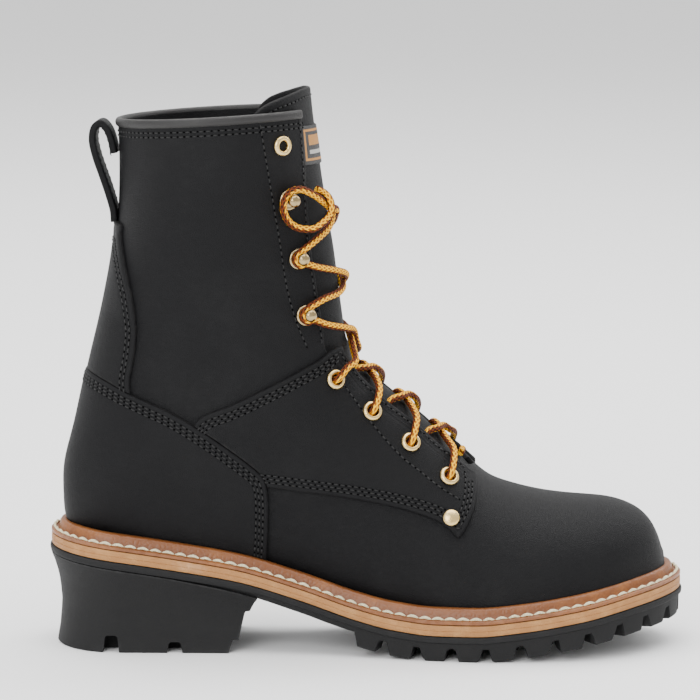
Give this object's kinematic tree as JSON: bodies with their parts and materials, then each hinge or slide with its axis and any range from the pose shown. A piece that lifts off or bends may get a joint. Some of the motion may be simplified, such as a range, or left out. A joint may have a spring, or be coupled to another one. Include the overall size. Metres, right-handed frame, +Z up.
{
  "type": "logger boot",
  "caption": "Tall lace-up leather work boot for the right foot, with speed hooks, a stitched welt and a raised heel on a deep-lugged rubber sole.",
  "frame": {"origin": "centre of the bounding box on the ground, under the boot as it stands", "axes": "+X from heel to toe, +Z up; the lateral (outer) side of the right foot faces -Y"},
  "size_m": [0.318, 0.1136, 0.2785],
  "materials": {
    "upper_leather": "matte oiled",
    "binding_leather": "matte",
    "midsole_leather": "sanded edge",
    "welt_leather": "waxed",
    "insole_leather": "plain",
    "rubber": "matte",
    "eyelet_brass": "satin",
    "rivet_brass": "satin",
    "hook_steel": "satin",
    "label_cloth": "woven",
    "lace": "braided"
  },
  "bodies": {
    "root": {"outsole": "rubber", "heel": "rubber", "midsole": "midsole_leather", "welt": "welt_leather", "insole": "insole_leather", "vamp": "upper_leather", "heel_wall": "upper_leather", "shaft": "upper_leather", "counter": "upper_leather", "quarter_lateral": "upper_leather", "quarter_medial": "upper_leather", "backstay": "upper_leather", "collar_binding": "binding_leather", "tongue": "upper_leather", "tongue_label": "label_cloth", "pull_loop": "upper_leather", "eyelet_lateral_1": "eyelet_brass", "eyelet_lateral_2": "eyelet_brass", "eyelet_lateral_3": "eyelet_brass", "eyelet_lateral_4": "eyelet_brass", "eyelet_lateral_top": "eyelet_brass", "hook_lateral_1": "hook_steel", "hook_lateral_2": "hook_steel", "hook_lateral_3": "hook_steel", "rivet_lateral": "rivet_brass", "eyelet_medial_1": "eyelet_brass", "eyelet_medial_2": "eyelet_brass", "eyelet_medial_3": "eyelet_brass", "eyelet_medial_4": "eyelet_brass", "eyelet_medial_top": "eyelet_brass", "hook_medial_1": "hook_steel", "hook_medial_2": "hook_steel", "hook_medial_3": "hook_steel", "rivet_medial": "rivet_brass", "lace_bar": "lace", "lace_crossing_1": "lace", "lace_crossing_2": "lace", "lace_crossing_3": "lace", "lace_hooked": "lace", "lace_loop": "lace"}
  },
  "joints": []
}
